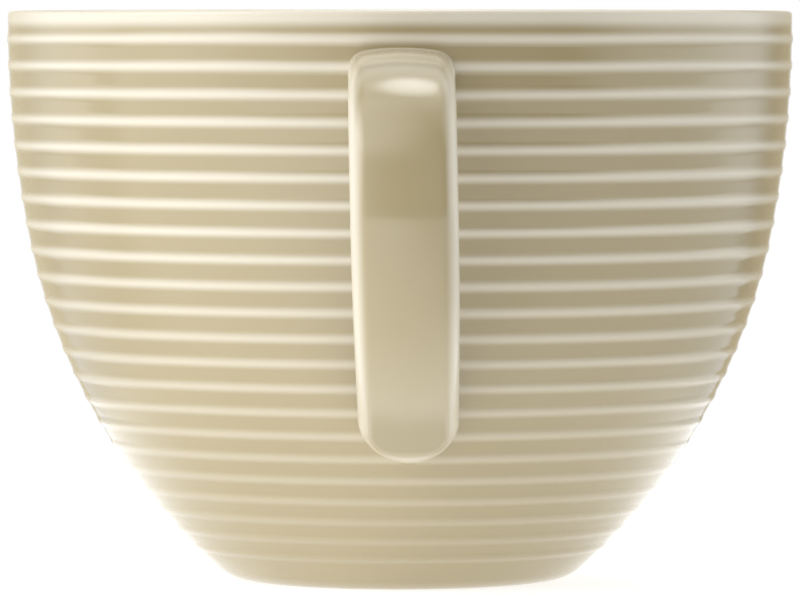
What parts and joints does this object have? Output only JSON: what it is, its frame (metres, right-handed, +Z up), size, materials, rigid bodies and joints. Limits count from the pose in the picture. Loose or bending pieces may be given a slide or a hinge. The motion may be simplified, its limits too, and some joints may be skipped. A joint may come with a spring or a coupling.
{
  "type": "cafe au lait cup",
  "caption": "Wide ribbed porcelain cup on a small foot, with a strap handle luted on; for milky coffee.",
  "frame": {"origin": "centre of the foot's standing plane, on the cup's turning axis", "axes": "+Z up along the cup's turning axis, -Y from that axis towards the handle, X across the strap"},
  "size_m": [0.1102, 0.1351, 0.0796],
  "materials": {
    "body_glaze": "glossy cream glaze",
    "handle_glaze": "glossy cream glaze",
    "slip": "glossy cream glaze over slip"
  },
  "bodies": {
    "root": {"cup_body": "body_glaze", "handle": "handle_glaze", "upper_slip_joint": "slip", "lower_slip_joint": "slip"}
  },
  "joints": []
}
